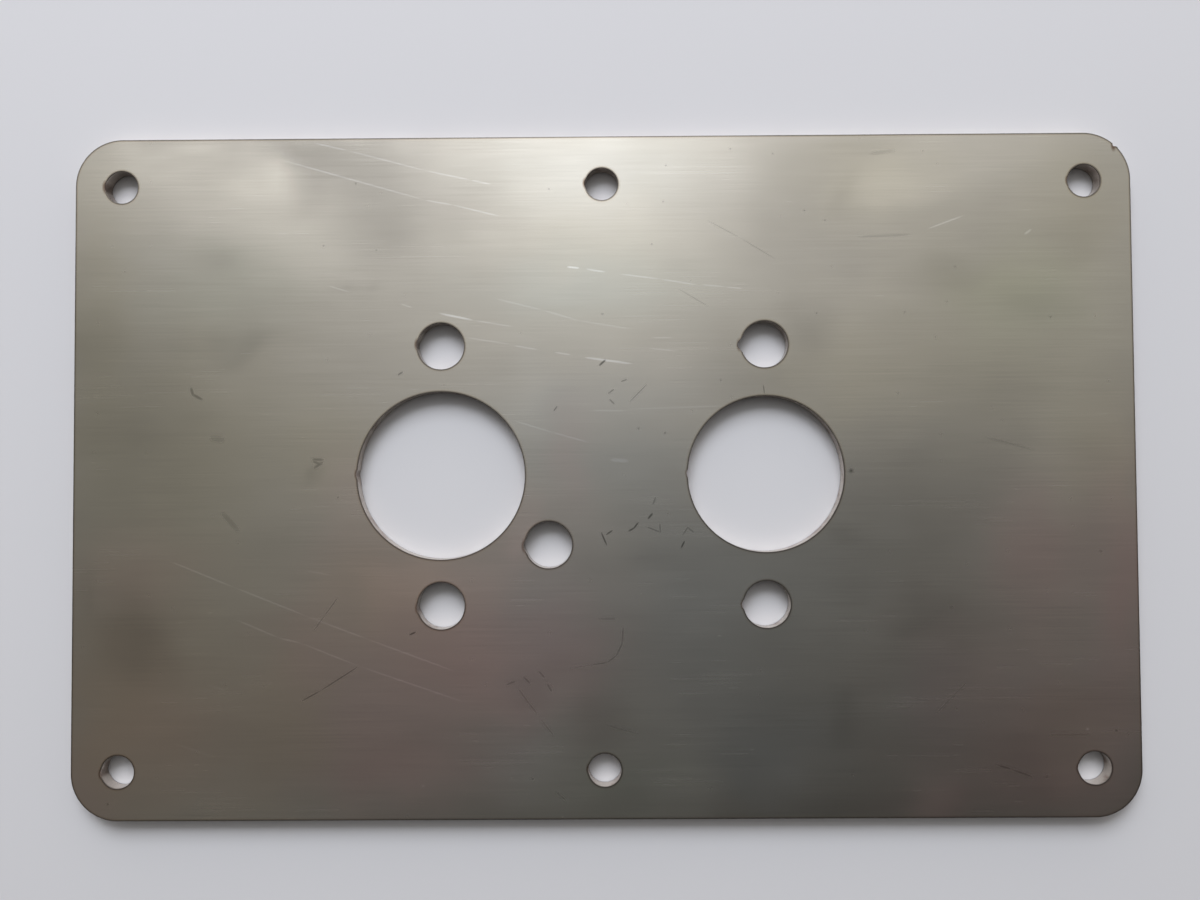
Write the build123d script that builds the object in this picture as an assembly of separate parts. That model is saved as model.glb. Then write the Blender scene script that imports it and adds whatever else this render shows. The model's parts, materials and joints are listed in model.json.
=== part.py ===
from build123d import *
import math
import os

# Heater mounting plate: one flat sheet of stainless steel, profile cut.
# Millimetres. The origin is the middle of the underside, +X runs along
# the length, +Y across the width and +Z up through the thickness.

# Sheet
plate_length = 180.0
plate_width = 115.6
sheet_thickness = 2.5
corner_radius = 8.0
edge_break = 0.15

# Six fixing holes round the rim: one in each corner, one mid-way on each long side
fixing_hole_diameter = 5.5
fixing_end_distance = 7.9
fixing_side_distance = 8.2
fixing_holes_per_side = 3

# Two ports side by side on the long centre line
port_spacing = 55.0
left_port_diameter = 28.4
right_port_diameter = 26.4

# Two stud holes for each port, one above it and one below
stud_hole_diameter = 7.9
stud_row_spacing = 44.0

# Fuel line hole, measured from the centre of the left port
fuel_hole_diameter = 7.9
fuel_hole_along = 18.2
fuel_hole_across = 11.8

# Notch that the cut leaves where it starts and ends, on the left of each hole
hole_notch_depth = 0.35
hole_notch_height = 1.9
port_notch_depth = 0.25
port_notch_height = 1.2

# Where the outline cut starts and ends, half-way round one corner
outline_nick_depth = 0.5
outline_nick_width = 1.1
outline_nib_height = 0.15
outline_nib_width = 0.4


def arc_radius(chord, rise):
    """Radius of the arc that rises so far above a chord of this length."""
    return (chord * chord / 4 + rise * rise) / (2 * rise)


def fixing_hole_centres():
    """Centres of the fixing holes, in two rows along the long sides."""
    reach = plate_length / 2 - fixing_end_distance
    row = plate_width / 2 - fixing_side_distance
    step = 2 * reach / (fixing_holes_per_side - 1)
    return [
        (-reach + index * step, side * row)
        for side in (1, -1)
        for index in range(fixing_holes_per_side)
    ]


def port_centres():
    """Centres of the left and the right port."""
    return [(-port_spacing / 2, 0.0), (port_spacing / 2, 0.0)]


def stud_hole_centres():
    """Centres of the stud holes, over and under each port."""
    return [
        (x, y + side * stud_row_spacing / 2)
        for x, y in port_centres()
        for side in (1, -1)
    ]


def fuel_hole_centre():
    """Centre of the fuel line hole, to the right of and below the left port."""
    x, y = port_centres()[0]
    return (x + fuel_hole_along, y - fuel_hole_across)


def round_hole(centre, diameter):
    """Outline of one hole."""
    return Pos(*centre) * Circle(diameter / 2)


def notch_at_nine(centre, diameter, depth, height):
    """Outline of the round notch that the cut leaves on the left of a hole."""
    x, y = centre
    radius = diameter / 2
    mouth = math.sqrt(radius * radius - height * height / 4)
    tip = radius + depth
    notch_radius = arc_radius(height, tip - mouth)
    return Pos(x - tip + notch_radius, y) * Circle(notch_radius)


def holes():
    """Every hole as its centre, its diameter, and the depth and height of its notch."""
    small = (hole_notch_depth, hole_notch_height)
    large = (port_notch_depth, port_notch_height)
    left_port, right_port = port_centres()
    return (
        [(centre, fixing_hole_diameter, *small) for centre in fixing_hole_centres()]
        + [(centre, stud_hole_diameter, *small) for centre in stud_hole_centres()]
        + [(fuel_hole_centre(), fuel_hole_diameter, *small)]
        + [(left_port, left_port_diameter, *large), (right_port, right_port_diameter, *large)]
    )


def blank():
    """Outline of the sheet with its round corners."""
    return RectangleRounded(plate_length, plate_width, corner_radius)


def on_corner_arc(distance, along):
    """Place this far out from the centre of the corner, and this far on round its arc."""
    centre_x = plate_length / 2 - corner_radius
    centre_y = plate_width / 2 - corner_radius
    turn = 45 - math.degrees(along / corner_radius)
    return Pos(centre_x, centre_y) * Rot(0, 0, turn) * Pos(distance, 0)


def outline_nick():
    """Outline of the nick where the outline cut started and ended."""
    radius = arc_radius(outline_nick_width, outline_nick_depth)
    return on_corner_arc(corner_radius - outline_nick_depth + radius, 0) * Circle(radius)


def outline_nib():
    """Outline of the nib of metal left standing on the near side of the nick."""
    radius = outline_nib_width / 2
    along = (outline_nick_width + outline_nib_width) / 2
    return on_corner_arc(corner_radius + outline_nib_height - radius, along) * Circle(radius)


def mounting_plate():
    """The sheet: sharp edges taken off the outline and the holes, the cut marks left sharp."""
    face = blank()
    for centre, diameter, _, _ in holes():
        face -= round_hole(centre, diameter)
    plate = extrude(face, amount=sheet_thickness)
    plate = chamfer(plate.faces().filter_by(Axis.Z).edges(), edge_break)
    plate += extrude(outline_nib(), amount=sheet_thickness)
    plate -= extrude(outline_nick(), amount=sheet_thickness)
    for centre, diameter, depth, height in holes():
        plate -= extrude(notch_at_nine(centre, diameter, depth, height), amount=sheet_thickness)
    return plate


os.makedirs("parts", exist_ok=True)

plate = mounting_plate()
plate.label = "mounting_plate"
export_step(plate, "parts/mounting_plate.step")
print("mounting_plate", round(plate.volume, 1), "mm3", plate.bounding_box().size)
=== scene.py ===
import bmesh
import bpy
import json
import math
from mathutils import Euler, Matrix, Vector, noise


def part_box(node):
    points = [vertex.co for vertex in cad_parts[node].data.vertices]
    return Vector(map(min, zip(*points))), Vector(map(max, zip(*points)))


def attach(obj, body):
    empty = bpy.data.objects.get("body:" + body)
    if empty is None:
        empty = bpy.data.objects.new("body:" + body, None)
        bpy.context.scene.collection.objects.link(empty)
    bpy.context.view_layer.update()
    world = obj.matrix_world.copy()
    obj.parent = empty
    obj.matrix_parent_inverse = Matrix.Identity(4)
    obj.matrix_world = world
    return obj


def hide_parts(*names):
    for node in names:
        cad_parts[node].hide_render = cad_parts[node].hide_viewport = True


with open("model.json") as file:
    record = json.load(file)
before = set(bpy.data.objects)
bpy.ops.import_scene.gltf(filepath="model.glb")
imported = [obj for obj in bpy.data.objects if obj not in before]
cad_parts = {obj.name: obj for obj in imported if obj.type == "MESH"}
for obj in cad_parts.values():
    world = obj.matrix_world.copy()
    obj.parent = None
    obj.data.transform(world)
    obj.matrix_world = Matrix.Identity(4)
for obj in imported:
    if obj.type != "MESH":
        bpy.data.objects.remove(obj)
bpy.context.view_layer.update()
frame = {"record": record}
mm = 0.001


# where the holes are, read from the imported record

def patternCentres(mount):
    # the corners of a rectangle of holes, or the two ends of a line of them
    x, y, _ = mount["pos_m"]
    halfX = mount["dims"].get("spacing_x_mm", 0) * mm / 2
    halfY = mount["dims"].get("spacing_y_mm", 0) * mm / 2
    sides = [(sideX, sideY) for sideX in (-1, 1) for sideY in (-1, 1)]
    return sorted({(x + sideX * halfX, y + sideY * halfY) for sideX, sideY in sides})


def readHoles(record):
    holes = []
    for mount in record["mounts"]:
        if mount["kind"] == "bore":
            centres = [tuple(mount["pos_m"][:2])]
            radius = mount["dims"]["r_mm"] * mm
        elif mount["kind"] == "bolt_pattern":
            centres = patternCentres(mount)
            radius = mount["dims"]["hole_r_mm"] * mm
        else:
            continue
        for index, centre in enumerate(centres):
            holes.append({
                "name": mount["name"], "index": index, "centre": Vector(centre), "radius": radius,
            })
    return holes


holes = readHoles(frame["record"])
sheetLow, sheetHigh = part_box("mounting_plate")
print(len(holes), "holes read from the record")


# shader maths: a Wire is a socket, and sums on Wires add the nodes

class Wire:
    def __init__(self, finish, socket):
        self.finish = finish
        self.socket = socket

    def math(self, operation, *others):
        return self.finish.node("Math", {"operation": operation}, dict(enumerate((self, *others))))

    def __add__(self, other):
        return self.math("ADD", other)

    def __sub__(self, other):
        return self.math("SUBTRACT", other)

    def __rsub__(self, other):
        return self.finish.node("Math", {"operation": "SUBTRACT"}, {0: other, 1: self})

    def __mul__(self, other):
        return self.math("MULTIPLY", other)

    def __pow__(self, other):
        return self.math("POWER", other)

    def __abs__(self):
        return self.math("ABSOLUTE")

    def smaller(self, other):
        return self.math("MINIMUM", other)

    def larger(self, other):
        return self.math("MAXIMUM", other)

    # self * factor + extra in one node
    def times(self, factor, extra):
        return self.math("MULTIPLY_ADD", factor, extra)

    # start below low, end above high, and smooth between
    def ramp(self, low, high, start=0.0, end=1.0):
        settings = {"interpolation_type": "SMOOTHSTEP"}
        inputs = {"Value": self, "From Min": low, "From Max": high, "To Min": start, "To Max": end}
        return self.finish.node("MapRange", settings, inputs)


# the node tree of one material or of the world, and the one way to add a node to it
class Finish:
    def __init__(self, owner):
        owner.use_nodes = True
        self.owner = owner
        self.tree = owner.node_tree
        self.tree.nodes.clear()

    def node(self, kind, settings=None, inputs=None, output=0):
        made = self.tree.nodes.new("ShaderNode" + kind)
        for name, value in (settings or {}).items():
            setattr(made, name, value)
        for name, value in (inputs or {}).items():
            if isinstance(value, Wire):
                self.tree.links.new(value.socket, made.inputs[name])
            else:
                made.inputs[name].default_value = value
        return Wire(self, made.outputs[output]) if made.outputs else made

    def vector(self, operation, *values, output=0):
        return self.node("VectorMath", {"operation": operation}, dict(enumerate(values)), output)

    def dot(self, first, second):
        return self.vector("DOT_PRODUCT", first, second, output=1)

    def distance(self, first, second):
        return self.vector("DISTANCE", first, second, output=1)

    # first where share is 0, and first blended with second where it is 1
    def blend(self, share, first, second, how="MIX"):
        settings = {"data_type": "RGBA", "blend_type": how}
        return self.node("Mix", settings, {0: share, 6: first, 7: second}, output=2)

    # noise about 0 to 1 whose features are as long as the sizes, in the units of place
    def noise(self, place, settings):
        scale = [1 / size for size in settings["sizes"]]
        scaled = self.vector("MULTIPLY_ADD", place, scale, [settings["seed"]] * 3)
        return self.node("TexNoise", None, {"Vector": scaled, "Scale": 1.0, "Detail": settings["detail"]})

    # 0 in the middle of a long mark and 1 on its edge; flat is (x, y, 1)
    def ellipse(self, flat, x, y, reach, width, turn):
        c = math.cos(math.radians(turn))
        s = math.sin(math.radians(turn))
        along = self.dot(flat, (c / reach, s / reach, -(c * x + s * y) / reach))
        across = self.dot(flat, (-s / width, c / width, (s * x - c * y) / width))
        along = along * along
        return along.times(along, across * across)


def linear(red, green, blue):
    # a colour as it looks on screen, 0 to 255, turned into the linear colour that shaders take
    parts = [part / 255 for part in (red, green, blue)]
    parts = [part / 12.92 if part <= 0.04045 else ((part + 0.055) / 1.055) ** 2.4 for part in parts]
    return (*parts, 1.0)


# the sheet

plateShape = {
    "name": "cutPlate",
    "cornerRadius": 8.0 * mm,
    "arris": 0.06 * mm,            # how far the sharp edge is rounded off
    "arrisRows": 2,
    "wallRows": 7,
    "outlineStep": 0.35 * mm,      # between vertices round the outline
    "holeStep": 0.16 * mm,
    # the tints on this grid include painted reflection: lighter and darker patches where the room reflects
    # brighter and dimmer
    "cell": 1.5 * mm,              # of the grid on the upper face, which carries the tints
    "cellMargin": 0.9 * mm,        # from the grid to any cut edge
    # the mark at the left of each hole where its cut starts: depth, height and how far above the middle
    # it is, in millimetres, for the holes of one kind from left to right, and the lower one of two first
    "notches": {
        "left_port": [(0.26, 2.2, 0.3)],
        "right_port": [(0.22, 1.8, 0.2)],
        "fuel_line_hole": [(0.36, 2.9, -0.2)],
        "heater_stud_holes": [
            (0.22, 2.4, -0.4), (0.27, 2.6, 0.3), (0.33, 2.2, 0.0), (0.66, 2.8, -0.1),
        ],
        "corner_fixing_holes": [
            (0.20, 2.2, -0.3), (0.22, 2.8, 0.1), (0.14, 2.4, 0.0), (0.12, 2.2, 0.1),
        ],
        "middle_fixing_holes": [(0.13, 2.2, 0.2), (0.22, 2.3, 0.2)],
    },
    "notchFoot": 0.7,              # how deep a notch is at its foot, as a share
    "nickAngle": 47.5,             # degrees round the corner arc
    "nickDepth": 0.3 * mm,
    "nickWidth": 0.9 * mm,
    "nibHeight": 0.13 * mm,
    "nibWidth": 0.35 * mm,
    "waviness": 0.012 * mm,        # of the cut walls
    "wavePitch": 0.9 * mm,
    "waveRise": 0.15,              # how fast the waves change with height, against along the wall
}


def bump(distance, width):
    # a round rise of height 1 that is gone half a width away
    if abs(distance) >= width / 2:
        return 0.0
    return 0.5 + 0.5 * math.cos(2 * math.pi * distance / width)


def edgeProfile(shape, thickness):
    # (how far into the sheet, height) from the upper flat round to the lower one
    arris = shape["arris"]
    turns = [row / shape["arrisRows"] * math.pi / 2 for row in range(shape["arrisRows"] + 1)]
    upper = [(arris * (1 - math.sin(turn)), thickness - arris * (1 - math.cos(turn))) for turn in turns]
    wall = thickness - 2 * arris
    rows = [(0.0, arris + wall * (1 - row / shape["wallRows"])) for row in range(1, shape["wallRows"])]
    lower = [(inset, thickness - height) for inset, height in reversed(upper)]
    return upper + rows + lower


def cutWall(bm, loop, profile, wallPlace):
    # rows are stacked a metre apart first, so that a row's number can be read back from its height
    ring = loop
    verts = {vert for edge in loop for vert in edge.verts}
    for row in range(1, len(profile)):
        made = bmesh.ops.extrude_edge_only(bm, edges=ring)["geom"]
        fresh = {part for part in made if isinstance(part, bmesh.types.BMVert)}
        bmesh.ops.translate(bm, verts=list(fresh), vec=(0, 0, -1))
        ring = [part for part in made if isinstance(part, bmesh.types.BMEdge)]
        ring = [edge for edge in ring if all(vert in fresh for vert in edge.verts)]
        verts |= fresh
    for vert in verts:
        inset, height = profile[round(-vert.co.z)]
        vert.co = wallPlace(vert.co.x, vert.co.y, inset, height)
    return ring


def wallWave(shape, x, y, height):
    return noise.noise(Vector((x, y, height * shape["waveRise"])) / shape["wavePitch"])


def holeWallPlace(hole, shape, low, thickness):
    depth, tall, lift = (part * mm for part in hole["notch"])
    foot = shape["notchFoot"]

    def placeOf(x, y, inset, height):
        away = Vector((x, y)) - hole["centre"]
        away.normalize()
        along = hole["radius"] * math.atan2(away.y, -away.x) - lift
        notch = depth * bump(along, tall) * (foot + (1 - foot) * height / thickness)
        wave = shape["waviness"] * wallWave(shape, x, y, height)
        spot = hole["centre"] + away * (hole["radius"] + inset + notch + wave)
        return Vector((spot.x, spot.y, low + height))

    return placeOf


def outlineWallPlace(shape, halfX, halfY, low):
    radius = shape["cornerRadius"]
    nickAlong = math.radians(shape["nickAngle"]) * radius
    nibAlong = nickAlong - (shape["nickWidth"] + shape["nibWidth"]) / 2

    def placeOf(x, y, inset, height):
        coreX = max(-halfX + radius, min(halfX - radius, x))
        coreY = max(-halfY + radius, min(halfY - radius, y))
        core = Vector((coreX, coreY))
        out = (Vector((x, y)) - core).normalized()
        reach = radius - inset
        if core.x > 0 and core.y > 0 and out.x > 0 and out.y > 0:
            along = math.atan2(out.y, out.x) * radius
            reach -= shape["nickDepth"] * bump(along - nickAlong, shape["nickWidth"])
            reach += shape["nibHeight"] * bump(along - nibAlong, shape["nibWidth"])
        reach -= shape["waviness"] * (1 + wallWave(shape, x, y, height)) / 2
        spot = core + out * reach
        return Vector((spot.x, spot.y, low + height))

    return placeOf


def outlineLoop(bm, shape, halfX, halfY):
    # a rectangle whose corner vertices are bevelled into arcs, and only its edges kept
    square = bmesh.ops.create_grid(bm, x_segments=1, y_segments=1, size=1.0)["verts"]
    bmesh.ops.scale(bm, verts=square, vec=(halfX, halfY, 1))
    steps = round(shape["cornerRadius"] * math.pi / 2 / (shape["outlineStep"] / 2))
    bmesh.ops.bevel(bm, geom=square, offset=shape["cornerRadius"], offset_type="OFFSET",
                    segments=steps, profile=0.5, material=-1, affect="VERTICES")
    bmesh.ops.delete(bm, geom=list(bm.faces), context="FACES_ONLY")
    for edge in list(bm.edges):
        cuts = round(edge.calc_length() / shape["outlineStep"]) - 1
        if cuts > 0:
            bmesh.ops.subdivide_edges(bm, edges=[edge], cuts=cuts)
    return list(bm.edges)


def sheetTintAndPaintedLight(look, x, y):
    # the patches multiply: tints of the finish, and painted reflection in the pale and dull ones; their edges
    # stray
    stray = noise.noise_vector(Vector((x, y, 0)) / look["wanderPitch"]) * look["wander"]
    x += stray.x
    y += stray.y
    tintAndLight = Vector((0, 0, 0))
    for colour, patches in look["patches"].values():
        share = 0.0
        for middleX, middleY, reach, width, turn, strength in patches:
            c = math.cos(math.radians(turn))
            s = math.sin(math.radians(turn))
            along = (c * (x - middleX) + s * (y - middleY)) / reach
            across = (c * (y - middleY) - s * (x - middleX)) / width
            share += strength * math.exp(-along * along - across * across)
        tintAndLight += share * Vector([math.log(part) for part in colour])
    return [math.exp(part) for part in tintAndLight] + [1.0]


def rimGap(shape, x, y):
    # how far a place is from the nearest cut edge
    overX = max(0.0, abs(x) - (sheetHigh.x - shape["cornerRadius"]))
    overY = max(0.0, abs(y) - (sheetHigh.y - shape["cornerRadius"]))
    gaps = [(Vector((x, y)) - hole["centre"]).length - hole["radius"] for hole in holes]
    return min(gaps + [shape["cornerRadius"] - math.hypot(overX, overY)])


def cellGrid(bm, shape, halfX, halfY):
    # faces in a grid on the upper side, clear of all the cut edges
    columns = round(2 * halfX / shape["cell"])
    rows = round(2 * halfY / shape["cell"])
    verts = bmesh.ops.create_grid(bm, x_segments=columns, y_segments=rows, size=1.0)["verts"]
    bmesh.ops.scale(bm, verts=verts, vec=(halfX, halfY, 1))
    bmesh.ops.translate(bm, verts=verts, vec=(0, 0, sheetHigh.z))
    doomed = {vert for vert in verts if rimGap(shape, vert.co.x, vert.co.y) < shape["cellMargin"]}
    while doomed:
        cells = {face for vert in doomed for face in vert.link_faces}
        bmesh.ops.delete(bm, geom=list(cells), context="FACES")
        verts = [vert for vert in verts if vert.is_valid]
        # no two cells may touch at one corner only
        doomed = {vert for vert in verts if sum(edge.is_boundary for edge in vert.link_edges) > 2}
    faces = {face for vert in verts for face in vert.link_faces}
    edges = {edge for face in faces for edge in face.edges}
    return faces, [edge for edge in edges if edge.is_boundary]


def outlineShare(shape, x, y):
    # how far round the outline a place is, 0 to 1, anticlockwise from the middle of the right side
    radius = shape["cornerRadius"]
    halfX = sheetHigh.x - radius
    halfY = sheetHigh.y - radius
    coreX = max(-halfX, min(halfX, x))
    coreY = max(-halfY, min(halfY, y))
    angle = math.atan2(y - coreY, x - coreX) % (2 * math.pi)
    if angle < math.pi / 4 and coreY < 0:
        angle += 2 * math.pi
    # the straight travel so far, on the right, upper, left and lower side, and on the right again
    travels = (
        coreY,
        halfY + halfX - coreX,
        2 * halfX + 2 * halfY - coreY,
        3 * halfY + 3 * halfX + coreX,
        4 * halfX + 4 * halfY + coreY,
    )
    travel = travels[round(angle / (math.pi / 2))]
    return (angle * radius + travel) / (2 * math.pi * radius + 4 * halfX + 4 * halfY)


def wallShare(hole, shape, x, y):
    # how far round its own edge a place on a wall is, 0 to 1; hole is None for the outline
    if hole is None:
        return outlineShare(shape, x, y)
    return math.atan2(y - hole["centre"].y, x - hole["centre"].x) / (2 * math.pi) % 1.0


# the map that colours are baked through: the upper face over the whole width, the lower face half as large
# under it on the left, and the walls in strips on the right
bakeLayout = {
    "name": "OFBake",
    "margin": 0.004,
    "left": 0.51,                  # where the strips start
    "top": 0.345,                  # and where they end
    "gap": 0.05,                   # round a strip, as a share of it
    "rows": 10,
    "outlineRows": 4,
    "wideHoles": 2,                # so many have a row each, and the rest share rows
    "holesPerRow": 3,
}


def wallSlots(settings):
    # (first row, rows, column, columns) of the strip for the outline and for each hole
    slots = {None: (0, settings["outlineRows"], 0, 1)}
    for index, hole in enumerate(sorted(holes, key=lambda hole: -hole["radius"])):
        row = settings["outlineRows"] + index
        column, columns = 0, 1
        if index >= settings["wideHoles"]:
            columns = settings["holesPerRow"]
            down, column = divmod(index - settings["wideHoles"], columns)
            row = settings["outlineRows"] + settings["wideHoles"] + down
        slots[hole["name"], hole["index"]] = (row, 1, column, columns)
    return slots


def wallStrip(middle, share, slot, level, settings):
    # a wall is laid out in rows; middle is its face's share, which keeps a face whole where a wall closes
    firstRow, rows, column, columns = slot
    row = min(rows - 1, int(middle * rows))
    along = (share - middle + 0.5) % 1.0 - 0.5 + middle
    inner = 1 - 2 * settings["gap"]
    u = (column + settings["gap"] + inner * (along * rows - row)) / columns
    v = (firstRow + row + settings["gap"] + inner * level) / settings["rows"]
    return (settings["left"] + u * (1 - settings["left"]), v * settings["top"])


def bakeMap(mesh, shape, profile, settings):
    margin = settings["margin"]
    scale = (1 - 2 * margin) / (sheetHigh.x - sheetLow.x)
    slots = wallSlots(settings)
    layer = mesh.uv_layers.new(name=settings["name"]).data
    for face in mesh.polygons:
        spots = [mesh.vertices[vert].co for vert in face.vertices]
        if face.material_index == 1:
            centre = face.center.xy
            near = [hole for hole in holes if abs((centre - hole["centre"]).length - hole["radius"]) < mm]
            hole = near[0] if near else None
            slot = slots[(hole["name"], hole["index"]) if hole else None]
            middle = wallShare(hole, shape, centre.x, centre.y)
            places = []
            for spot in spots:
                gaps = [abs(spot.z - sheetLow.z - height) for _, height in profile]
                level = 1 - gaps.index(min(gaps)) / (len(profile) - 1)
                share = wallShare(hole, shape, spot.x, spot.y)
                places.append(wallStrip(middle, share, slot, level, settings))
        elif face.normal.z > 0:
            places = [(margin + (spot.x - sheetLow.x) * scale, 1 - margin - (sheetHigh.y - spot.y) * scale)
                      for spot in spots]
        else:
            places = [(margin + (spot.x - sheetLow.x) * scale / 2, margin + (spot.y - sheetLow.y) * scale / 2)
                      for spot in spots]
        for loop, place in zip(face.loop_indices, places):
            layer[loop].uv = place


def buildPlate(shape, look):
    halfX = (sheetHigh.x - sheetLow.x) / 2
    halfY = (sheetHigh.y - sheetLow.y) / 2
    thickness = sheetHigh.z - sheetLow.z
    profile = edgeProfile(shape, thickness)
    bm = bmesh.new()
    outline = outlineLoop(bm, shape, halfX, halfY)
    loops = [(outline, outlineWallPlace(shape, halfX, halfY, sheetLow.z))]
    for hole in holes:
        hole["notch"] = shape["notches"][hole["name"]][hole["index"]]
        before = set(bm.edges)
        steps = round(2 * math.pi * hole["radius"] / shape["holeStep"])
        bmesh.ops.create_circle(bm, cap_ends=False, radius=hole["radius"], segments=steps,
                                matrix=Matrix.Translation(hole["centre"].to_3d()))
        wallPlace = holeWallPlace(hole, shape, sheetLow.z, thickness)
        loops.append(([edge for edge in bm.edges if edge not in before], wallPlace))
    upper = [edge for loop, _ in loops for edge in loop]
    lower = [edge for loop, wallPlace in loops for edge in cutWall(bm, loop, profile, wallPlace)]
    for face in bm.faces:
        face.smooth = True
        face.material_index = 1
    cells, border = cellGrid(bm, shape, halfX, halfY)
    for edges, facing in ((upper + border, 1), (lower, -1)):
        filled = bmesh.ops.triangle_fill(bm, use_beauty=True, edges=edges, normal=(0, 0, facing))
        made = filled["geom"]
        flats = [part for part in made if isinstance(part, bmesh.types.BMFace)]
        flats += cells if facing > 0 else []
        for face in flats:
            face.smooth = False
            face.material_index = 0
        print("flat side of", round(sum(face.calc_area() for face in flats) / mm / mm, 1), "mm2")
    bmesh.ops.recalc_face_normals(bm, faces=bm.faces)
    mesh = bpy.data.meshes.new(shape["name"])
    bm.to_mesh(mesh)
    bm.free()
    tintsAndLight = mesh.attributes.new(look["tintAndLightName"], "FLOAT_COLOR", "POINT")
    for vert, tintAndLight in zip(mesh.vertices, tintsAndLight.data):
        tinted = vert.co.z > (sheetHigh.z + sheetLow.z) / 2
        tintAndLight.color = sheetTintAndPaintedLight(look, vert.co.x / mm, vert.co.y / mm) if tinted else (1, 1, 1, 1)
    bakeMap(mesh, shape, profile, bakeLayout)
    plate = bpy.data.objects.new(shape["name"], mesh)
    bpy.context.scene.collection.objects.link(plate)
    print(shape["name"], "has", len(mesh.polygons), "faces")
    return plate


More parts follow.
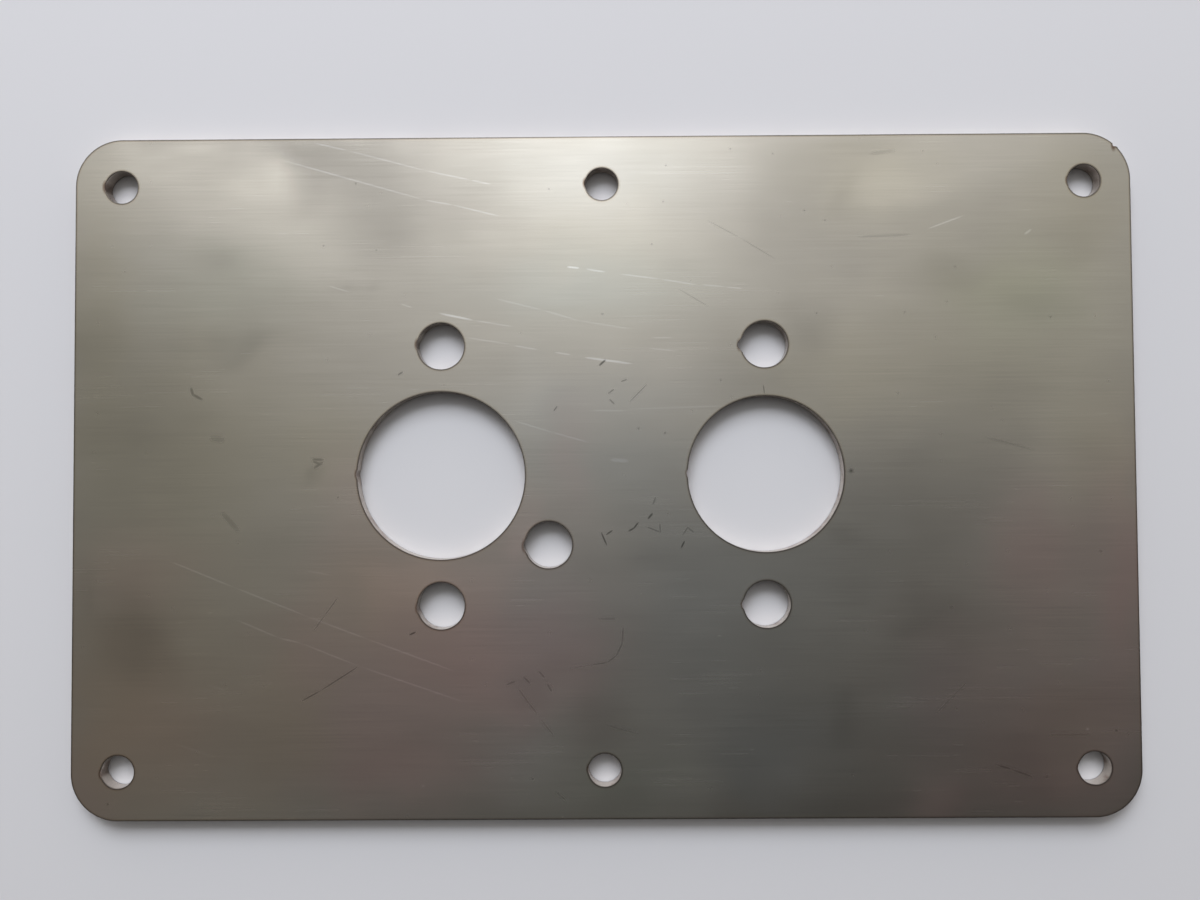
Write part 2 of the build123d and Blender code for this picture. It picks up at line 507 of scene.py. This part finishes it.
# all places and sizes are in millimetres on the sheet, and turns are in degrees
sheetLook = {
    "steel": (0.609, 0.574, 0.503),
    "roughness": 0.25,
    # how much each noise changes the colour and the roughness; the fine grain's height is a share
    "grain": {
        "sizes": (30, 0.22, 20), "detail": 3.0, "seed": 0.0,
        "colour": 0.10, "roughness": 0.06, "height": 0.0009,
    },
    "fineGrain": {
        "sizes": (9, 0.11, 20), "detail": 1.0, "seed": 7.0,
        "colour": 0.08, "roughness": 0.05, "height": 0.5,
    },
    "clouds": {"sizes": (26, 9, 20), "detail": 3.0, "seed": 3.0, "colour": 0.10, "roughness": 0.06},
    "tintAndLightName": "sheetTintAndPaintedLight",
    "wander": 3.0,                  # how far the edges of a patch stray
    "wanderPitch": 7.0,
    # patches by tint; the pale and dull ones are painted reflection over some real clouding: x, y, half
    # length, half width, turn, strength
    "patches": {
        # painted highlight: lighter where brighter parts of the room are reflected, with some real paler
        # finish
        "paintedLightAndPale": ((1.40, 1.40, 1.40), [
            (0, 50, 17, 13, 0, 0.65), (-10, 42, 10, 12, 15, 0.25), (-74, 50, 18, 9, -8, 0.55),
            (-55, 42, 10, 8, -30, 0.40), (-80, 55, 4, 3, 0, 0.2), (-62, 49.5, 3, 2.5, 0, 0.3),
            (-56, 49.5, 3.5, 2.5, 0, 0.35), (-70, 56, 10, 1.6, 0, 0.3), (66, 55, 18, 5, 0, 0.2),
            (52, 47.5, 8, 3, 0, 0.4), (76, 4, 8, 12, 0, 0.33), (55, -56, 5, 5, 0, 0.5),
            (13, -52, 7, 9, 0, 0.5), (-12, -48, 8, 10, 0, 0.40), (74, -32, 12, 16, 20, 0.25),
            (-27, -19, 12, 5, 0, 0.25), (-5, 25, 16, 14, 0, 0.25), (-30, -32, 18, 16, 0, 0.2),
            (85, 30, 7, 12, 0, 0.2), (-44, 36, 12, 5, 0, 0.22), (7, 39, 7, 5, 0, 0.24),
            (-13, 12, 4, 9, 0, 0.22), (82, 14, 9, 12, 0, 0.22), (-36, -18, 8, 5, 0, 0.24),
            (-16, -36, 9, 6, 0, 0.20), (4, -43, 7, 7, 0, 0.26), (-62, -54, 26, 6, 0, 0.20),
            (-4, -53, 9, 5, 0, 0.30), (31, -52, 6, 4, 0, 0.30), (84, -52, 7, 9, 0, 0.50),
            (-26, -52, 16, 5, 0, 0.24), (-32, 46, 7, 5, 0, 0.15), (-42, 0, 5, 10, 0, 0.14),
            (-14, -9, 2.5, 4, 0, 0.30), (-80, 46, 12, 12, 0, 0.15), (72, 26, 9, 6, 0, 0.15),
            (87, 2, 4, 10, 0, 0.20), (86, -30, 5, 12, 0, 0.17), (78, -50, 6, 6, 0, 0.20),
            (36, -49, 6, 5, 0, 0.18),
        ]),
        # painted shade: darker where dimmer parts of the room are reflected, with some real duller finish
        "paintedShadeAndDull": ((0.68, 0.68, 0.68), [
            (-41, 52, 11, 8, -25, 0.60), (-36, 42, 8, 9, 0, 0.4), (33, 48, 9, 14, 0, 0.55),
            (42, 47, 2.5, 4, 0, 0.3), (52, -4, 17, 10, 0, 0.55), (22, -9, 18, 11, 0, 0.45),
            (20, -27, 18, 9, 0, 0.2), (54, -23, 6, 4, 0, 0.35), (41, -11, 3, 2, -20, 0.35),
            (-78, -27, 6, 7, 20, 0.6), (-60, 22.5, 6, 2.2, 20, 0.35), (0, -40, 5, 5, 0, 0.3),
            (8, -15, 8, 1.8, 0, 0.2), (-12, -35, 4, 2.5, 0, 0.25), (60, 34, 7, 4, 0, 0.35),
            (74, 28, 6, 3, 0, 0.25), (91, -57, 8, 9, 0, 0.3), (-80, 10, 13, 14, 0, 0.5),
            (-89, 24, 6, 8, 0, 0.35), (35, 25, 5, 5, 0, 0.4), (58, 44, 14, 4, 0, 0.2),
            (-84, -25, 8, 12, 0, 0.25), (41, -41, 3, 4, 0, 0.3), (-48.5, 2.3, 1.4, 1.2, 0, 0.5),
            (-88, -18, 1.2, 4, 0, 0.35), (-43, 32.3, 1.6, 1.2, 0, 0.2), (-39.5, 32, 1.6, 1.4, 0, 0.2),
            (-65, 36, 4, 2.5, 0, 0.15), (70, 14, 12, 5, 0, 0.15), (-53, 56, 7, 4, 0, 0.50),
            (46, 56, 8, 3.5, 0, 0.45), (85, 50, 7, 9, 0, 0.20), (45, 37, 7, 4, 0, 0.20),
            (80, 39, 7, 5, 0, 0.18), (25, 17, 9, 6, 0, 0.30), (-60, 22, 6, 4, 0, 0.15),
            (49, -17, 10, 5, 0, 0.30), (56, -26, 17, 5, 0, 0.18), (58, -9, 8, 5, 0, 0.12),
            (-46, 56, 8, 3, 0, 0.25), (-34, 56, 6, 3, 0, 0.25), (8, -6, 10, 14, 0, 0.20),
            (-42, 55, 18, 5, 0, 0.20), (-32, 44, 12, 6, 0, 0.18), (22, 24, 10, 12, 0, 0.12),
            (31, 15.5, 4, 3, 0, 0.15), (38, -18, 10, 6, 0, 0.15),
        ]),
        "rosy": ((1.14, 0.93, 0.96), [
            (-24, -30, 20, 14, 10, 0.9), (-40, -48, 14, 10, 0, 0.5), (74, -14, 9, 12, 0, 0.7),
            (74, -40, 14, 14, 0, 0.7), (56, -56, 8, 4, 0, 0.6), (80, -54, 10, 6, 0, 0.5),
            (-5, 2, 4, 10, 0, 0.3), (-76, -44, 20, 13, 0, 0.55), (-90, -56, 9, 9, 0, 0.45),
            (-36, -16, 14, 9, 0, 0.42), (-16, -36, 12, 8, 0, 0.25), (-14, -9, 4, 6, 0, 0.45),
            (88, -16, 5, 18, 0, 0.65), (86, -44, 7, 9, 0, 0.25), (56, -36, 8, 13, 0, 0.35),
            (-78, -16, 12, 7, 0, 0.32), (-42, -2, 6, 8, 0, 0.25), (-52, -28, 8, 8, 0, 0.30),
            (-30, -50, 14, 6, 0, 0.35), (-5, -30, 6, 9, 0, 0.35), (88, -30, 6, 20, 0, 0.30),
            (-80, -28, 12, 12, 0, 0.25), (66, -50, 14, 6, 0, 0.30), (-45, -34, 12, 10, 0, 0.20),
        ]),
        "straw": ((1.04, 1.01, 0.86), [
            (-74, -40, 24, 26, 0, 0.7), (-72, 5, 22, 24, 0, 0.55), (70, 24, 24, 20, 0, 0.45),
            (70, 32, 10, 6, 0, 0.2), (82, -40, 10, 14, 0, 0.3), (40, 16, 14, 9, 0, 0.3),
            (-38, -20, 12, 10, 0, 0.4), (-87, 26, 6, 28, 0, 0.35), (84, 3, 9, 11, 0, 0.36),
            (82, 46, 10, 13, 0, 0.32), (45, 51, 13, 8, 0, 0.30), (-47, 5, 8, 8, 0, 0.28),
            (-54, -42, 7, 13, 0, 0.28), (-84, -40, 8, 18, 0, 0.25),
        ]),
        "slate": ((0.92, 1.0, 1.10), [
            (14, -22, 16, 22, 0, 0.6), (28, -46, 14, 9, 0, 0.5), (35, -18, 14, 20, 0, 0.3),
            (0, 52, 22, 8, 0, 0.35), (4, 2, 10, 8, 0, 0.35), (-5, 32, 16, 5, 0, 0.3),
            (-10, 8, 9, 12, 0, 0.38), (-10, -24, 9, 16, 0, 0.45), (54, -38, 7, 9, 0, 0.30),
            (84, -33, 8, 8, 0, 0.35), (70, -34, 4, 4, 0, 0.15), (5, 14, 14, 5, 0, 0.20),
            (86, -48, 6, 8, 0, 0.25), (-14, -47, 8, 7, 0, 0.30), (27, -52, 8, 5, 0, 0.20),
        ]),
        "sage": ((0.96, 1.02, 1.00), [
            (72, 30, 12, 9, 0, 0.8), (-65, 32, 16, 9, 0, 0.5), (0, 32, 22, 8, 0, 0.4),
            (2, -52, 12, 7, 0, 0.8),
        ]),
    },
    # fine light scratches: strength, half width, and the points that they go through
    "scratches": [
        (0.50, 0.18, [(-55.3, 54.3), (-30, 47), (-25.5, 46.2), (-17.5, 44.2)]),
        (0.45, 0.18, [(-49, 57), (-43.5, 55.7), (-30, 52.1), (-22.2, 50.4), (-19, 49.7)]),
        (0.35, 0.16, [(-46.5, 32.4), (-43.2, 31.4)]),
        (0.40, 0.16, [(-34.2, 29.2), (-32.5, 28.7)]),
        (1.00, 0.23, [(-27.7, 27.6), (-22, 26.4)]),
        (0.35, 0.16, [(-22, 26.4), (-15, 25.2)]),
        (0.30, 0.16, [(-23.5, 23.5), (-15.5, 22.2)]),
        (0.40, 0.16, [(-15, 22), (-11, 21.3)]),
        (0.50, 0.18, [(-8, 20.8), (-5.5, 20.4)]),
        (1.00, 0.23, [(-3, 19.9), (5, 18.8)]),
        (1.00, 0.21, [(-5.8, 35.4), (-4, 35.2)]),
        (0.60, 0.18, [(-2.6, 35), (0.4, 34.5)]),
        (0.45, 0.16, [(3.2, 34.1), (10, 33.2), (16, 32.2)]),
        (0.40, 0.16, [(17, 32.2), (21, 31.8), (23.8, 31.5)]),
        (0.25, 0.18, [(-18, 30), (-10, 28), (-4, 26.2), (5, 24.7)]),
        (0.25, 0.18, [(8, 21.4), (12.7, 20.9)]),
        (0.25, 0.18, [(8.5, 23.2), (11.8, 23.2)]),
        (0.25, 0.18, [(-2, 10.9), (4, 10.8)]),
        (0.25, 0.18, [(4, 11.1), (20.5, 11.5)]),
        (0.30, 0.18, [(-15, 9.2), (-8.5, 7.2), (-2.5, 5.5)]),
        (0.35, 0.40, [(1.5, 2.5), (4, 2.3)]),
        (0.50, 0.18, [(-73.5, -14.2), (-62.5, -18.7), (-50, -23.7), (-40, -27.5), (-25.2, -33)]),
        (0.45, 0.18, [(-62, -24.2), (-55, -27.2), (-51, -28.2), (-41.5, -32), (-23.5, -38.2)]),
        (0.20, 0.18, [(-73, -44.7), (-65.5, -47.2)]),
        (0.20, 0.18, [(-67, -35), (-64, -36)]),
        (0.20, 0.18, [(-50.5, -15.9), (-46.3, -16.7)]),
        (0.60, 0.18, [(55.5, 41.5), (61.5, 43.7)]),
        (0.60, 0.23, [(72, 40.5), (72.9, 41.2)]),
    ],
    "lightDots": [(80.9, -43.1, 0.35, 0.9), (-30.6, -52.1, 0.3, 0.6)],
    # dark rubs and nicks, in the same way
    "rubs": [
        (0.70, 0.32, [(-70, 15), (-69.7, 14), (-68.2, 13.2)]),
        (0.72, 0.22, [(-34.7, 17.2), (-34.1, 17.6)]),
        (0.30, 0.68, [(-66.2, 6.5), (-64.8, 6.3)]),
        (0.36, 0.54, [(-64.5, -6.2), (-62, -9)]),
        (0.36, 0.16, [(-49, -26), (-47.2, -23.5), (-45, -20.5)]),
        (0.72, 0.16, [(-51, -37.8), (-48, -36.2), (-41.5, -32.1)]),
        (1.00, 0.19, [(-32.8, -26.8), (-31.9, -26.4)]),
        (1.00, 0.24, [(-0.5, 18.6), (0.4, 19.4)]),
        (0.72, 0.16, [(-8.3, 10.9), (-7.8, 11.6)]),
        (0.60, 0.19, [(1, 13.8), (1.8, 14.4)]),
        (0.60, 0.19, [(1.2, 12.7), (1.9, 12)]),
        (0.60, 0.19, [(3.2, 15.8), (4, 16.1)]),
        (0.48, 0.16, [(4.5, 12.3), (7.5, 15.3)]),
        (0.24, 0.19, [(18, 43.2), (23.5, 40.2), (29.5, 36.5)]),
        (0.24, 0.19, [(13, 31.5), (18, 28.5)]),
        (0.60, 0.19, [(8.4, -5), (8.8, -4)]),
        (1.00, 0.24, [(7.6, -7.4), (8.2, -6.7)]),
        (1.00, 0.20, [(4.3, -9.5), (5.1, -9.1), (5.8, -8.2)]),
        (0.96, 0.19, [(-0.4, -9.8), (0.5, -11.9)]),
        (0.96, 0.19, [(0.5, -10.1), (1.4, -9.5)]),
        (0.60, 0.16, [(7.4, -8.9), (9.6, -9.8), (9.5, -8.4)]),
        (0.60, 0.16, [(13.4, -10.2), (14.2, -9), (15.2, -9.8)]),
        (1.00, 0.20, [(13.1, -12.4), (13.6, -11.4)]),
        (0.36, 0.22, [(-0.8, -24.3), (2, -24.3)]),
        (0.54, 0.19, [(3.2, -25.8), (3, -28.5), (2, -30.5), (0.5, -31.6), (-2, -32)]),
        (0.24, 0.19, [(-2, -32), (-6, -32.6)]),
        (0.60, 0.22, [(-16.4, -35.2), (-15.2, -34.8)]),
        (0.60, 0.22, [(-13.6, -34), (-12.6, -35)]),
        (0.60, 0.22, [(-11, -33.1), (-10.2, -34)]),
        (0.60, 0.22, [(-9.6, -35.2), (-9, -36.3)]),
        (0.48, 0.19, [(-14.5, -36), (-12.7, -38.5), (-11.5, -40)]),
        (0.42, 0.19, [(-10.7, -41.2), (-8.7, -43.7)]),
        (0.24, 0.22, [(0, -42), (6, -43.7)]),
        (0.24, 0.41, [(46, 54.5), (50, 55)]),
        (0.30, 0.27, [(43.5, 40.2), (52.5, 40.5)]),
        (0.24, 0.27, [(64.5, 6), (73, 3.7)]),
        (0.72, 0.20, [(65.7, -49), (68, -49.7), (71.5, -51)]),
        (0.36, 0.20, [(74.5, -44), (81.5, -44)]),
        (0.30, 0.20, [(55.5, -40.5), (61, -35)]),
        (0.36, 0.19, [(-8.2, -53.2), (-6.6, -54.6)]),
        (0.62, 0.30, [(-49.2, 2.9), (-47.6, 2.8)]),
        (0.62, 0.30, [(-49.1, 2.5), (-47.9, 2)]),
        (0.62, 0.30, [(-48.9, 1.5), (-47.7, 2.3)]),
        (0.60, 0.16, [(27.4, 13.6), (27.2, 15)]),
    ],
    "darkDots": [
        (-42, 50, 0.3, 0.7), (-47.5, 39.3, 0.25, 0.7), (-38.5, 38.5, 0.25, 0.5),
        (-45, -3.6, 0.25, 0.6), (-83.7, -54.9, 0.3, 0.6), (0, 27.3, 0.3, 0.5), (6, 7.8, 0.3, 0.6),
        (10.5, 7, 0.3, 0.6), (11, 52.7, 0.25, 0.6), (22, 55.5, 0.25, 0.5), (29.2, 54.6, 0.25, 0.5),
        (-9, 48.8, 0.25, 0.6), (10.5, 46.5, 0.25, 0.5), (8.5, 39.2, 0.25, 0.5),
        (36.4, 27.2, 0.25, 0.5), (51.3, 27.3, 0.25, 0.5), (34.5, 44.8, 0.25, 0.5),
        (38, 43.1, 0.25, 0.5), (58.5, 29, 0.25, 0.4), (60, 35, 0.25, 0.4), (76, 26.3, 0.3, 0.5),
        (50, 13.5, 0.25, 0.5), (56.5, 23, 0.25, 0.4), (41.9, 0.4, 0.6, 1.0), (83.7, -13.4, 0.3, 0.6),
        (74, -51, 0.35, 0.6), (85.7, -43.4, 0.35, 0.9), (58.5, -22.7, 0.3, 0.5),
        (-12.2, -51, 0.3, 0.5), (20, 15.9, 0.3, 0.4),
    ],
    "scratchColour": (1.38, 1.42, 1.52, 1),
    "scratchFaint": 0.5,            # how strong a scratch is where the grain is 0
    "rubColour": (0.22, 0.22, 0.21, 1),
    "rubRoughness": 0.15,
    # core is the part of the radius that is full
    "specks": {
        "size": 2.2, "radius": 0.10, "core": 0.3, "share": 0.16, "colour": (0.72, 0.70, 0.68, 1),
        "roughness": 0.1,
    },
    "rim": {"width": 0.38, "colour": (0.18, 0.17, 0.16, 1)},
    "heat": {"width": 0.7, "colour": (0.96, 0.90, 0.84, 1), "uneven": (0.6, 0.5)},
    "scorch": {
        "colour": (0.31, 0.21, 0.16, 1), "faint": 0.4, "fade": (0.2, 1.0),
        "spread": 0.52, "nick": 1.3, "nickInset": 0.25, "squeeze": 2.2,
    },
}


# the strongest of many thin strokes and dots
def strokeMask(finish, flat, strokes, dots):
    strongest = 0.0
    for strength, width, points in strokes:
        for start, end in zip(points, points[1:]):
            run = Vector(end) - Vector(start)
            middle = (Vector(end) + Vector(start)) / 2
            reach = run.length / 2 + width
            turn = math.degrees(math.atan2(run.y, run.x))
            spread = finish.ellipse(flat, middle.x, middle.y, reach, width, turn)
            strongest = spread.times(-strength, strength).larger(strongest)
    for x, y, radius, strength in dots:
        away = finish.distance(flat, (x, y, 1))
        strongest = away.times(-strength / radius, strength).larger(strongest)
    return strongest


# how far into the sheet a place is from the nearest cut edge
def rimDistance(finish, flat, x, y, shape):
    radius = shape["cornerRadius"] / mm
    overX = (abs(x) - (sheetHigh.x / mm - radius)).larger(0)
    overY = (abs(y) - (sheetHigh.y / mm - radius)).larger(0)
    nearest = radius - (overX * overX + overY * overY) ** 0.5
    for hole in holes:
        centre = hole["centre"] / mm
        nearest = (finish.distance(flat, (centre.x, centre.y, 1)) - hole["radius"] / mm).smaller(nearest)
    return nearest


# how far a place is from the nearest start of a cut: 1 is the edge of its scorch, squeezed along X
def scorchDistance(finish, flat, look, shape):
    radius = shape["cornerRadius"] / mm
    turn = math.radians(shape["nickAngle"])
    reach = radius - look["nickInset"]
    nickX = sheetHigh.x / mm - radius + reach * math.cos(turn)
    nickY = sheetHigh.y / mm - radius + reach * math.sin(turn)
    starts = [(nickX, nickY, look["nick"])]
    for hole in holes:
        depth, tall, lift = hole["notch"]
        edgeX = (hole["centre"].x - hole["radius"]) / mm
        starts.append((edgeX - depth / 2, hole["centre"].y / mm + lift, look["spread"] * tall))
    squeezed = finish.vector("MULTIPLY", flat, (look["squeeze"], 1, 1))
    nearest = 9.0                  # further off than any scorch is wide
    for x, y, spread in starts:
        nearest = (finish.distance(squeezed, (look["squeeze"] * x, y, 1)) * (1 / spread)).smaller(nearest)
    return nearest


def sheetFinish(look, shape):
    finish = Finish(bpy.data.materials.new("millSheet"))
    place = finish.vector("MULTIPLY", finish.node("TexCoord", output=3), (1 / mm, 1 / mm, 1 / mm))
    axes = finish.node("SeparateXYZ", None, {0: place}).socket.node
    x, y, z = (Wire(finish, axes.outputs[axis]) for axis in range(3))
    flat = finish.vector("MULTIPLY_ADD", place, (1, 1, 0), (0, 0, 1))
    upper = z.math("GREATER_THAN", (sheetHigh.z + sheetLow.z) / 2 / mm)

    # grain along X, and clouds
    grain = finish.noise(place, look["grain"])
    fine = finish.noise(place, look["fineGrain"])
    clouds = finish.noise(place, look["clouds"])
    shade = (clouds - 0.5) * look["clouds"]["colour"] + 1
    shade = shade + (grain - 0.5) * look["grain"]["colour"]
    shade = shade + (fine - 0.5) * look["fineGrain"]["colour"]
    colour = finish.vector("MULTIPLY", look["steel"], shade)

    # the attribute holds tints of the finish and painted reflection, lighter and darker patches
    tintAndLight = finish.node("Attribute", {"attribute_name": look["tintAndLightName"]})
    colour = finish.blend(1.0, colour, tintAndLight, "MULTIPLY")

    # a dark line at the edge itself, and heat from the cut: a faint band along every edge, and a scorch where
    # each cut starts
    rim = rimDistance(finish, flat, x, y, shape)
    band = rim.ramp(0, look["heat"]["width"], 1.0, 0.0) * grain.times(*look["heat"]["uneven"])
    colour = finish.blend(band, colour, look["heat"]["colour"], "MULTIPLY")
    line = rim.ramp(0, look["rim"]["width"], 1.0, 0.0)
    colour = finish.blend(line, colour, look["rim"]["colour"], "MULTIPLY")
    scorch = scorchDistance(finish, flat, look["scorch"], shape)
    scorch = scorch.ramp(*look["scorch"]["fade"], 1.0, 0.0) * (clouds + look["scorch"]["faint"])
    colour = finish.blend(scorch * upper, colour, look["scorch"]["colour"], "MULTIPLY")

    scratches = strokeMask(finish, flat, look["scratches"], look["lightDots"])
    scratches = scratches * upper * (grain + look["scratchFaint"])
    rubs = strokeMask(finish, flat, look["rubs"], look["darkDots"]) * upper
    speckLook = look["specks"]
    cells = finish.node("TexVoronoi", {"voronoi_dimensions": "2D"}, {
        "Vector": flat, "Scale": 1 / speckLook["size"],
    })
    # the brightness of a cell picks which cells have a speck, and how strong it is
    chosen = Wire(finish, cells.socket.node.outputs[1]).ramp(1 - speckLook["share"], 1.0)
    specks = cells.ramp(speckLook["radius"] * speckLook["core"], speckLook["radius"], 1.0, 0.0) * chosen
    colour = finish.blend(specks, colour, speckLook["colour"], "MULTIPLY")
    colour = finish.blend(scratches, colour, look["scratchColour"], "MULTIPLY")
    colour = finish.blend(rubs, colour, look["rubColour"], "MULTIPLY")

    rough = (grain - 0.5) * look["grain"]["roughness"] + (fine - 0.5) * look["fineGrain"]["roughness"]
    rough = rough + (clouds - 0.5) * look["clouds"]["roughness"] + rubs * look["rubRoughness"]
    rough = rough + specks * speckLook["roughness"] + look["roughness"]
    height = grain + fine * look["fineGrain"]["height"]
    relief = finish.node("Bump", None, {
        "Strength": 1.0, "Distance": look["grain"]["height"] * mm, "Height": height,
    })
    shader = finish.node("BsdfPrincipled", None, {
        "Base Color": colour, "Metallic": 1.0, "Roughness": rough, "Normal": relief,
    })
    finish.node("OutputMaterial", None, {"Surface": shader})
    print("millSheet has", len(finish.tree.nodes), "nodes")
    return finish.owner


# the cut wall is browned in places by the heat, and striped by the ripples of the cut; the sharp edge is
# dark, and so is the wall where each cut starts
cutLook = {
    "steel": (0.51, 0.46, 0.41, 1),
    "metal": 0.75,
    "roughness": 0.16,
    # shade is what the ripples multiply the colour by: a part of their own value, and the rest
    "ripple": {
        "sizes": (0.35, 0.35, 6), "detail": 2.0, "seed": 0.0,
        "shade": (0.4, 0.8), "roughness": 0.15, "height": 0.006,
    },
    "brown": {
        "sizes": (1.6, 1.6, 2.5), "detail": 2.0, "seed": 5.0,
        "range": (0.44, 0.74), "share": 0.8, "colour": (0.26, 0.18, 0.14, 1),
    },
    "edge": {"depth": 0.16, "colour": (0.10, 0.09, 0.08, 1), "roughness": 0.3},
    "scorch": {"fade": (0.2, 0.9), "share": 0.75, "colour": (0.20, 0.15, 0.12, 1)},
}


def cutFinish(look, sheet, shape):
    finish = Finish(bpy.data.materials.new("cutWall"))
    place = finish.vector("MULTIPLY", finish.node("TexCoord", output=3), (1 / mm, 1 / mm, 1 / mm))
    z = finish.node("SeparateXYZ", None, {0: place}, output=2)
    flat = finish.vector("MULTIPLY_ADD", place, (1, 1, 0), (0, 0, 1))

    ripple = finish.noise(place, look["ripple"])
    brown = finish.noise(place, look["brown"]).ramp(*look["brown"]["range"], 0.0, look["brown"]["share"])
    colour = finish.blend(brown, look["steel"], look["brown"]["colour"])
    colour = finish.vector("MULTIPLY", colour, ripple.times(*look["ripple"]["shade"]))

    halfThickness = (sheetHigh.z - sheetLow.z) / 2 / mm
    offMiddle = abs(z - (sheetHigh.z + sheetLow.z) / 2 / mm)
    depth = look["edge"]["depth"]
    edge = offMiddle.ramp(halfThickness - depth, halfThickness - depth / 2)
    colour = finish.blend(edge, colour, look["edge"]["colour"])

    scorch = scorchDistance(finish, flat, sheet["scorch"], shape)
    scorch = scorch.ramp(*look["scorch"]["fade"], look["scorch"]["share"], 0.0)
    colour = finish.blend(scorch, colour, look["scorch"]["colour"])

    relief = finish.node("Bump", None, {
        "Strength": 1.0, "Distance": look["ripple"]["height"] * mm, "Height": ripple,
    })
    rough = ripple * look["ripple"]["roughness"] + look["roughness"] + edge * look["edge"]["roughness"]
    shader = finish.node("BsdfPrincipled", None, {
        "Base Color": colour, "Metallic": look["metal"], "Roughness": rough, "Normal": relief,
    })
    finish.node("OutputMaterial", None, {"Surface": shader})
    print("cutWall has", len(finish.tree.nodes), "nodes")
    return finish.owner


plate = buildPlate(plateShape, sheetLook)
plate.data.materials.append(sheetFinish(sheetLook, plateShape))
plate.data.materials.append(cutFinish(cutLook, sheetLook, plateShape))
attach(plate, "root")
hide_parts("mounting_plate")


# the floor, the light and the camera

paperFloor = {
    "name": "paperFloor",
    "size": 4.0,
    "drop": 0.02 * mm,             # under the sheet, so that the two don't share a plane
    "colour": linear(203, 203, 204),
    "roughness": 0.8,
}


def buildFloor(settings):
    bm = bmesh.new()
    bmesh.ops.create_grid(bm, x_segments=1, y_segments=1, size=settings["size"] / 2,
                          matrix=Matrix.Translation((0, 0, -settings["drop"])))
    mesh = bpy.data.meshes.new(settings["name"])
    bm.to_mesh(mesh)
    bm.free()
    floor = bpy.data.objects.new(settings["name"], mesh)
    bpy.context.scene.collection.objects.link(floor)
    finish = Finish(bpy.data.materials.new("palePaper"))
    shader = finish.node("BsdfPrincipled", None, {
        "Base Color": settings["colour"], "Roughness": settings["roughness"],
    })
    finish.node("OutputMaterial", None, {"Surface": shader})
    mesh.materials.append(finish.owner)


# directions are in degrees from straight up: towards +X, then towards +Y

def aim(right, back):
    return Vector((math.tan(math.radians(right)), math.tan(math.radians(back)), 1)).normalized()


windowLight = {
    "name": "window",
    "towards": (-10, 50),
    "away": 1.0,
    "size": (0.7, 0.5),
    "power": 8.8,
    "colour": (0.95, 0.98, 1.08),
}


def addSoftbox(settings):
    data = bpy.data.lights.new(settings["name"], "AREA")
    data.shape = "RECTANGLE"
    data.size, data.size_y = settings["size"]
    data.energy = settings["power"]
    data.color = settings["colour"]
    lamp = bpy.data.objects.new(settings["name"], data)
    bpy.context.scene.collection.objects.link(lamp)
    direction = aim(*settings["towards"])
    lamp.location = direction * settings["away"]
    lamp.rotation_euler = direction.to_track_quat("Z", "Y").to_euler()


skyLight = {
    "horizon": (1.25, 1.04, 0.92),  # how bright the room is low down
    "back": 0.85,                   # how much brighter than that it is towards +Y, and darker towards -Y
    "horizonFade": (0.02, 0.45),    # and the heights where that ends
    "limit": 1.3,                   # the brightest that a glow gets
    "limitEase": 0.52,              # and how softly it gets there
    # right, back, tightness, strength
    "glows": [(-8, 60, 6, 2.1), (0, 20, 14, 0.40), (60, 40, 6, 0.43), (-35, -15, 6, 0.13)],
}


def addSky(settings):
    world = bpy.data.worlds.new("room")
    bpy.context.scene.world = world
    finish = Finish(world)
    direction = finish.vector("NORMALIZE", finish.node("TexCoord"))
    axes = finish.node("SeparateXYZ", None, {0: direction}).socket.node
    low = Wire(finish, axes.outputs[2]).ramp(*settings["horizonFade"], start=1.0, end=0.0)
    low = low * Wire(finish, axes.outputs[1]).times(settings["back"], 1.0)
    light = 0.0
    for right, back, tightness, strength in settings["glows"]:
        near = finish.dot(direction, aim(right, back)) - 1
        glow = (near * tightness).math("EXPONENT") * strength
        light = glow.math("SMOOTH_MIN", settings["limit"], settings["limitEase"]) + light
    room = finish.vector("MULTIPLY_ADD", settings["horizon"], low, light)
    shader = finish.node("Background", None, {"Color": room, "Strength": 1.0})
    finish.node("OutputWorld", None, {"Surface": shader})


# seen from straight above, as in the photograph
cameraView = {
    "at": (0.207 * mm, 0.283 * mm, 155.246 * mm),
    "turn": (1.458, 0.288, -0.342),
    "sensor": 36,
    "focal": 902 / 1200 * 36,      # 902 pixels of a picture that is 1200 wide
    "clipStart": 10 * mm,
}


def addCamera(settings):
    data = bpy.data.cameras.new("camera")
    data.lens = settings["focal"]
    data.sensor_width = settings["sensor"]
    data.sensor_fit = "HORIZONTAL"
    data.clip_start = settings["clipStart"]
    camera = bpy.data.objects.new("camera", data)
    bpy.context.scene.collection.objects.link(camera)
    camera.location = settings["at"]
    camera.rotation_euler = Euler([math.radians(turn) for turn in settings["turn"]])
    bpy.context.scene.camera = camera


buildFloor(paperFloor)
addSoftbox(windowLight)
addSky(skyLight)
addCamera(cameraView)
bpy.context.scene.view_settings.view_transform = "Standard"
